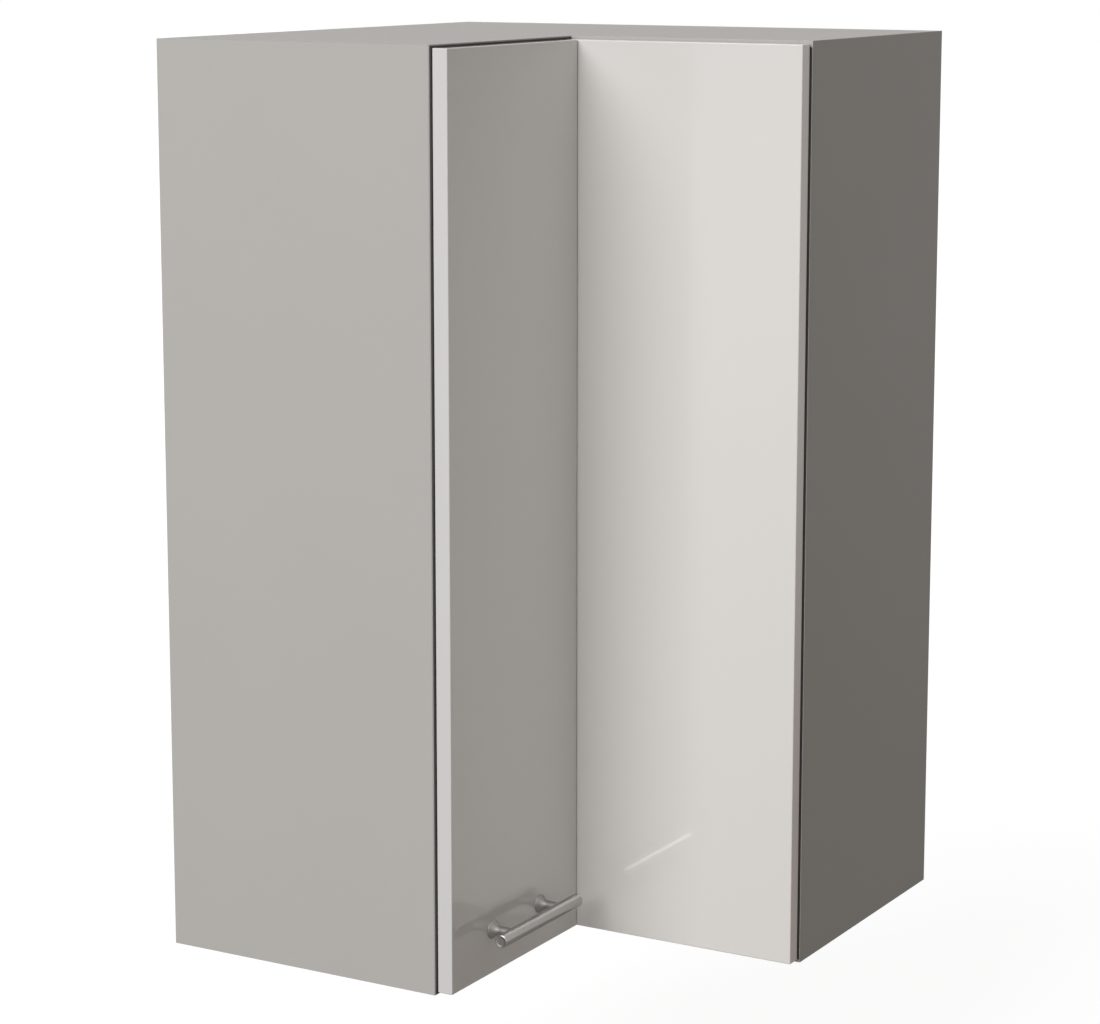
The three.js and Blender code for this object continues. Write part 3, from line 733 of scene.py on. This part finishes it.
def dress(node, look, radius=softEdge["radius"], steps=softEdge["steps"]):
    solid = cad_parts[node]
    for slot in solid.material_slots:
        slot.material = look
    solid.data.shade_smooth()
    soft = solid.modifiers.new("soft edges", "BEVEL")
    soft.width = radius
    soft.segments = steps
    soft.limit_method = "ANGLE"
    soft.angle_limit = math.radians(softEdge["sharpFrom"])
    soft.harden_normals = True


for side in ("left", "right"):
    dress(f"{side}_back_panel", backBoard, 0.2 * mm)
    dress(f"{side}_hanger_body", whitePlastic, 0.6 * mm, 3)
    dress(f"{side}_hanger_hook", nickel, 0.4 * mm)
dress("rear_corner_post", timber, 0.8 * mm, 3)
for name in hingeNames:
    for part in ("hinge_plate", "hinge_arm", "hinge_arm_pin", "hinge_inner_lever",
                 "hinge_outer_lever", "hinge_cup_pin", "fold_plate", "fold_pin"):
        dress(f"{name}_{part}", nickel)
print("solids dressed")


# turned shelf supports, in millimetres
support = {"shank": 2.5, "shankLong": 8, "collar": 4.2, "collarLong": 0.9, "head": 3.5,
           "long": 15, "sides": 40}


def makeSupports():
    shank, deep, collar, head, end = (
        support[key] for key in ("shank", "shankLong", "collar", "head", "long"))
    rim = deep + support["collarLong"]
    profile = [(0, 0), (shank - 0.5, 0), (shank, 0.5), (shank, deep), (collar - 0.25, deep),
               (collar, deep + 0.2), (collar, rim - 0.2), (collar - 0.2, rim), (head, rim),
               (head, end - 1.0), (head - 0.3, end - 0.35), (head - 1.0, end), (0, end)]
    for shelf in ("lower", "upper"):
        for place in ("left_rear", "left_front", "right_rear", "right_front", "corner"):
            node = f"{shelf}_shelf_support_{place}"
            low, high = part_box(node)
            start = middle(node)
            if place.startswith("left"):
                start.y, way = low.y, (0, 1, 0)
            elif place == "corner":
                start.x, way = low.x, (1, 0, 0)
            else:
                start.x, way = high.x, (-1, 0, 0)
            shape = bmesh.new()
            addTurned(shape, millimetres(profile), start, way, support["sides"])
            made = piece(f"{shelf}Support.{place}", shape, [nickel], "carcass",
                         smoothTo=40)
            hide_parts(node)


# pressed hinge cups on the right leaf, in millimetres
cup = {"radius": 17.5, "inner": 16.4, "deep": 11.5, "lip": 18.0, "neck": 17.3, "earHalf": 8.0,
       "earEnd": 26.0, "earThick": 1.0, "arris": 0.2, "sides": 72}


def makeHingeCups():
    radius, inner, deep, lip = (cup[key] for key in ("radius", "inner", "deep", "lip"))
    neck, half, end = (cup[key] for key in ("neck", "earHalf", "earEnd"))
    thick, arris = cup["earThick"] * mm, cup["arris"] * mm
    profile = [(0, -deep), (radius - 1.3, -deep), (radius - 0.4, -deep + 0.35),
               (radius, -deep + 1.2), (radius, 0), (lip, 0), (lip, 0.7), (lip - 0.25, 1.0),
               (inner + 0.7, 1.0), (inner + 0.2, 0.75), (inner, 0.2), (inner, -deep + 2.0),
               (inner - 0.35, -deep + 1.3), (inner - 1.1, -deep + 1.0), (0, -deep + 1.0)]
    reach = math.asin(half / neck)
    ear = [(neck * math.sin(reach * step / 5), neck * math.cos(reach * step / 5))
           for step in range(5, -6, -1)]
    for step in range(15):
        angle = math.pi * step / 14
        ear.append((-half * math.cos(angle), end - half + half * math.sin(angle)))
    for name in hingeNames:
        node = f"{name}_hinge_cup"
        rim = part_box(node)[1].y
        spot = middle(node)
        spot.y = rim - thick
        shape = bmesh.new()
        addTurned(shape, millimetres(profile), spot, (0, 1, 0), cup["sides"])
        lay = Matrix.Translation((spot.x, rim, spot.z)) @ Matrix.Rotation(math.pi / 2, 4, "X")
        for way in (-1, 1):
            plate = bmesh.new()
            addOutline(plate, [(a * mm * way, b * mm * way) for a, b in ear], 0, thick, arris)
            bmesh.ops.transform(plate, matrix=lay, verts=plate.verts)
            pour(shape, loose("ear", plate))
        made = piece(f"{name}HingeCup", shape, [nickel], "right_leaf", smoothTo=40)
        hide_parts(node)


# cups of the hinges between the two leaves, in millimetres
foldCup = {"radius": 17.5, "wall": 1.0, "deep": 11.5, "flange": 1.5, "corner": 3.0,
           "span": 21.0, "eye": 3.5, "bore": 1.8, "pinBehind": 4.0, "pinAside": 19.5,
           "eyeFrom": 6.2, "eyeTo": 10.5, "notch": 4.1, "notchTo": 30, "arris": 0.25,
           "eyeArris": 0.3, "sides": 72, "boreSides": 32}


def roundedBox(width, height, corner, steps=6):  # an outline round the origin, half sizes
    outline = []
    for quarter, (a, b) in enumerate(((1, 1), (-1, 1), (-1, -1), (1, -1))):
        for step in range(steps + 1):
            angle = math.pi / 2 * (quarter + step / steps)
            outline.append((a * (width - corner) + corner * math.cos(angle),
                            b * (height - corner) + corner * math.sin(angle)))
    return outline


def makeFoldCups():
    radius, wall, deep = (foldCup[key] for key in ("radius", "wall", "deep"))
    inner, floor = radius - wall, deep - wall
    bowl = [(0, floor), (inner - 1.1, floor), (inner - 0.35, floor - 0.3), (inner, floor - 1.0),
            (inner, 0), (radius, 0), (radius, deep - 1.2), (radius - 0.4, deep - 0.35),
            (radius - 1.3, deep), (0, deep)]
    eye, behind, aside = (foldCup[key] for key in ("eye", "pinBehind", "pinAside"))
    drop = [(0, aside)]
    for step in range(19):  # round the eye, from the flange and back to it
        angle = math.radians(15 * step)
        drop.append((-behind + eye * math.cos(angle), aside + eye * math.sin(angle)))
    drop += [(-behind, aside - 2 * eye), (0, aside - 2 * eye)]
    upright = Matrix(((0, 0, -1, 0), (1, 0, 0, 0), (0, 1, 0, 0), (0, 0, 0, 1)))
    eyeFrom, eyeTo = foldCup["eyeFrom"] * mm, foldCup["eyeTo"] * mm
    arris, eyeArris = foldCup["arris"] * mm, foldCup["eyeArris"] * mm
    over = Vector((3 * mm, 0, 0))    # how far a cutter stands clear on each side
    beyond = Vector((0, 0, 2 * mm))
    for name in hingeNames:
        node = f"{name}_fold_cup"
        spot = foldMiddle(name)
        spot.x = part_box(node)[1].x - deep * mm
        flange = bmesh.new()
        outline = roundedBox(foldReach, foldCup["span"], foldCup["corner"])
        addOutline(flange, millimetres(outline), 0, foldCup["flange"] * mm, arris)
        lay = Matrix.Translation(spot) @ upright
        bmesh.ops.transform(flange, matrix=lay, verts=flange.verts)
        cutter = bmesh.new()
        addRod(cutter, spot - over, spot + over, inner * mm, foldCup["sides"])
        notch = spot.y + (aside - foldCup["notch"]) * mm
        addSlab(cutter, (spot.x - over.x, notch, spot.z - eyeFrom),
                (spot.x + over.x, spot.y + foldCup["notchTo"] * mm, spot.z + eyeFrom), 0)
        shape = bmesh.new()
        pour(shape, carve(loose("flange", flange), cutter, True))
        pin = spot + Vector((-behind * mm, aside * mm, 0))
        for near, far in ((-eyeTo, -eyeFrom), (eyeFrom, eyeTo)):
            knuckle = bmesh.new()
            outline = [(spot.x + a * mm, spot.y + b * mm) for a, b in drop]
            addOutline(knuckle, outline, spot.z + near, spot.z + far, eyeArris)
            cutter = bmesh.new()
            addRod(cutter, pin + Vector((0, 0, near)) - beyond, pin + Vector((0, 0, far)) + beyond,
                   foldCup["bore"] * mm, foldCup["boreSides"])
            pour(shape, carve(loose("knuckle", knuckle), cutter))
        addTurned(shape, millimetres(bowl), spot, (1, 0, 0), foldCup["sides"])
        made = piece(f"{name}FoldCup", shape, [nickel], "left_leaf", smoothTo=40)
        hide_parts(node)


makeSupports()
makeHingeCups()
makeFoldCups()
print("hinge cups and shelf supports made")


# the bar handle on its two flared posts, in millimetres
handle = {
    "radius": 7.0, "rounding": 1.1, "dish": 0.35, "sides": 72,
    "neck": 4.5, "foot": 10.0, "rim": 1.0, "flare": 10.0, "flarePower": 2.2, "postSides": 56,
}


def rounded(radius, rounding, length, steps=6):  # a bar's profile, both ends rounded over
    profile = []
    for step in range(steps + 1):
        angle = math.pi / 2 * step / steps
        profile.append((radius - rounding * (1 - math.sin(angle)),
                        rounding * (1 - math.cos(angle))))
    return profile + [(r, length - along) for r, along in reversed(profile)]


def makeHandle():
    low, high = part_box("handle_bar")
    radius, rounding, dish = (handle[key] for key in ("radius", "rounding", "dish"))
    length = (high.y - low.y) / mm
    flat = radius - rounding
    end = [(0, dish), (flat * 0.55, dish), (flat * 0.93, dish * 0.6)]
    profile = end + rounded(radius, rounding, length)
    profile += [(r, length - along) for r, along in reversed(end)]
    start = middle("handle_bar")
    start.y = low.y
    shape = bmesh.new()
    addTurned(shape, millimetres(profile), start, (0, 1, 0), handle["sides"])
    bar = piece("handleBar", shape, [satinSteel], "left_leaf", smoothTo=50)
    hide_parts("handle_bar")
    foot, neck, rim = (handle[key] for key in ("foot", "neck", "rim"))
    for end in ("outer", "inner"):
        low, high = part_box(f"{end}_handle_post")
        length = (high.x - low.x) / mm
        profile = [(0, 0), (foot - 0.3, 0), (foot, 0.15), (foot, rim - 0.35), (foot - 0.25, rim)]
        for step in range(1, 13):
            share = step / 12
            flared = (foot - neck) * (1 - share) ** handle["flarePower"]
            profile.append((neck + flared, rim + handle["flare"] * share))
        profile += [(neck, length), (0, length)]
        spot = middle(f"{end}_handle_post")
        spot.x = low.x
        shape = bmesh.new()
        addTurned(shape, millimetres(profile), spot, (1, 0, 0), handle["postSides"])
        post = piece(f"{end}HandlePost", shape, [postSteel], "left_leaf",
                     smoothTo=40)
        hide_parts(f"{end}_handle_post")


makeHandle()
print("handle fitted")


# screws and cam covers, in millimetres; a head is its radius and height
screws = {
    "crossLong": 1.1, "crossWide": 0.22, "crossDeep": 0.55,  # shares of the head's size
    "sides": 32, "sharp": 50,
    "plateThick": 2.5,
    "cupUp": 22.5, "cupHead": (3.1, 1.0),
    "foldAcross": 15.1, "foldUp": 17.6, "foldHead": (3.0, 1.0),
    "plateEnds": (35, 7), "plateUp": 13, "plateHead": (3.3, 1.1),
    "mountEnd": 7, "mountUp": 16, "mountHead": (4.2, 1.5),
    "armRise": 13.5, "armHeads": ((11, (4.0, 1.6)), (39, (3.4, 1.6))),
    "camIn": 34, "camAlong": (-240, -20), "camHead": (7.6, 0.7),
    "hangerDeep": 5, "hangerUp": (10, 23), "hangerHead": (2.7, 1.2),
    "handleHead": (4.4, 2.6),
}


def addScrewHead(shape, cutter, place, way, head):  # pan head and its cross
    radius, height = head[0] * mm, head[1] * mm
    profile = [(0, -0.3), (0.97, -0.3), (1, 0), (1, 0.35), (0.93, 0.68), (0.72, 0.9), (0.4, 1),
               (0, 1)]
    profile = [(radius * across, height * along) for across, along in profile]
    addTurned(shape, profile, place, way, screws["sides"])
    spot = Matrix.Translation(place) @ turning(way)
    lift = Matrix.Translation((0, 0, height * (1.5 - screws["crossDeep"])))
    size = Matrix.Diagonal((radius * screws["crossLong"], radius * screws["crossWide"], height, 1))
    for turn in (0, 90):
        turned = spot @ Matrix.Rotation(math.radians(turn), 4, "Z")
        bmesh.ops.create_cube(cutter, size=1, matrix=turned @ lift @ size)


def makeScrews(name, places, body):
    shape, cutter = bmesh.new(), bmesh.new()
    for place, way, head in places:
        addScrewHead(shape, cutter, Vector(place), way, head)
    made = piece(name, shape, [nickel], body, screws["sharp"])
    carve(made, cutter, True)
    sharpen(made, screws["sharp"])
    return made


def leafScrews():  # place, way and head of each, on the right leaf and on the left
    onRight, onLeft = [], []
    flangeX = leftBack - foldCup["flange"] * mm
    plateY = rightBack + screws["plateThick"] * mm
    for name in hingeNames:
        spot = middle(f"{name}_hinge_cup")
        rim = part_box(f"{name}_hinge_cup")[1].y
        for up in (-1, 1):
            place = (spot.x, rim, spot.z + up * screws["cupUp"] * mm)
            onRight.append((place, (0, 1, 0), screws["cupHead"]))
        spot = foldMiddle(name)
        for across in (-1, 1):
            for up in (-1, 1):
                place = (flangeX, spot.y + across * screws["foldAcross"] * mm,
                         spot.z + up * screws["foldUp"] * mm)
                onLeft.append((place, (-1, 0, 0), screws["foldHead"]))
        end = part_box(f"{name}_fold_plate")[1].x
        for inset in screws["plateEnds"]:
            for up in (-1, 1):
                place = (end - inset * mm, plateY, spot.z + up * screws["plateUp"] * mm)
                onRight.append((place, (0, 1, 0), screws["plateHead"]))
    for end in ("outer", "inner"):
        spot = middle(f"{end}_handle_screw")
        spot.x = leftBack
        onLeft.append((spot, (-1, 0, 0), screws["handleHead"]))
    return onRight, onLeft


def carcassScrews():
    places = []
    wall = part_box("right_end_panel")[0].x
    for name in hingeNames:
        x = wall - screws["plateThick"] * mm
        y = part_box(f"{name}_hinge_plate")[0].y + screws["mountEnd"] * mm
        z = middle(f"{name}_hinge_plate").z
        for up in (-1, 1):
            place = (x, y, z + up * screws["mountUp"] * mm)
            places.append((place, (-1, 0, 0), screws["mountHead"]))
        x = wall - screws["armRise"] * mm
        end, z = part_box(f"{name}_hinge_arm")[1].y, middle(f"{name}_hinge_arm").z
        for inset, head in screws["armHeads"]:
            places.append(((x, end - inset * mm, z), (-1, 0, 0), head))
    inner = wall - screws["camIn"] * mm
    cams = [(x * mm, -inner) for x in screws["camAlong"]]
    cams += [(-y, -x) for x, y in cams]  # mirrored into the right wing
    for z, way in ((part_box("top_panel")[0].z, -1), (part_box("bottom_panel")[1].z, 1)):
        for x, y in cams:
            places.append(((x, y, z), (0, 0, way), screws["camHead"]))
    for up in screws["hangerUp"]:
        for side, way in (("left", (1, 0, 0)), ("right", (0, -1, 0))):
            low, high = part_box(f"{side}_hanger_body")
            spot = (low + high) / 2
            if side == "left":
                spot.x = high.x - screws["hangerDeep"] * mm
            else:
                spot.y = low.y + screws["hangerDeep"] * mm
            spot.z = low.z + up * mm
            places.append((spot, way, screws["hangerHead"]))
    return places


rightPlaces, leftPlaces = leafScrews()
makeScrews("rightLeafScrews", rightPlaces, "right_leaf")
leftScrews = makeScrews("leftLeafScrews", leftPlaces, "left_leaf")
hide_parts("outer_handle_screw", "inner_handle_screw")
makeScrews("hingeMountScrews", carcassScrews(), "carcass")
print("screws driven")


# dark soft strips on the carcass's front edges, behind the leaves: painted shade, a near-black
# sheet in the gaps that are only in shade
gapShade = {
    "proud": 1.5 * mm,
    "width": 6.0 * mm,
    "round": 0.4 * mm,
    "inset": 1.4 * mm,        # from the carcass's outer sides
    "gap": 0.2 * mm,          # between the upright strip and the level ones
    "rightInset": 0.7 * mm,
    "rightFoot": 0.5 * mm,    # inside the right leaf's ends
    "rightTop": 3.5 * mm,
}


def makeGapShade(name, strips):
    shape = bmesh.new()
    for strip in strips:
        addSlab(shape, *strip, gapShade["round"])
    trueNormals(piece(name, shape, [shadeLook], "carcass"))


def makeGapShades():
    width, inset = gapShade["width"], gapShade["inset"]
    low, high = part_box("left_end_panel")
    front, proud = high.x, high.x + gapShade["proud"]
    start, bottom, top = low.y + inset, low.z + inset, high.z - inset
    level = start + width + gapShade["gap"]
    makeGapShade("leftFrontGapShade", [
        ((front, start, bottom), (proud, start + width, top)),
        ((front, level, top - width), (proud, rightBack, top)),
        ((front, level, bottom), (proud, rightBack, bottom + width)),
    ])
    low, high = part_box("right_end_panel")
    front, edge = low.y, high.x - gapShade["rightInset"]
    low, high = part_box("right_door")
    makeGapShade("rightFrontGapShade", [
        ((edge - width, front - gapShade["proud"], low.z + gapShade["rightFoot"]),
         (edge, front, high.z - gapShade["rightTop"])),
    ])


# soft buffers on the left leaf's back, where it meets the carcass, in millimetres
buffers = {
    "profile": [(0, -0.1), (3.4, -0.1), (3.5, 0.25), (3.2, 0.8), (2.5, 1.3), (1.4, 1.6), (0, 1.7)],
    "sides": 32,
    "insets": ((10.2, 27), (238, 8.9)),  # from the leaf's free side and from its ends
}


def makeBuffers():
    low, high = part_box("left_door")
    shape = bmesh.new()
    profile = millimetres(buffers["profile"])
    for along, up in buffers["insets"]:
        for z in (low.z + up * mm, high.z - up * mm):
            spot = (leftBack, low.y + along * mm, z)
            addTurned(shape, profile, spot, (-1, 0, 0), buffers["sides"])
    piece("leftLeafBuffers", shape, [softBuffer], "left_leaf", smoothTo=50)


makeGapShades()
makeBuffers()
print("gapShades and buffers laid")
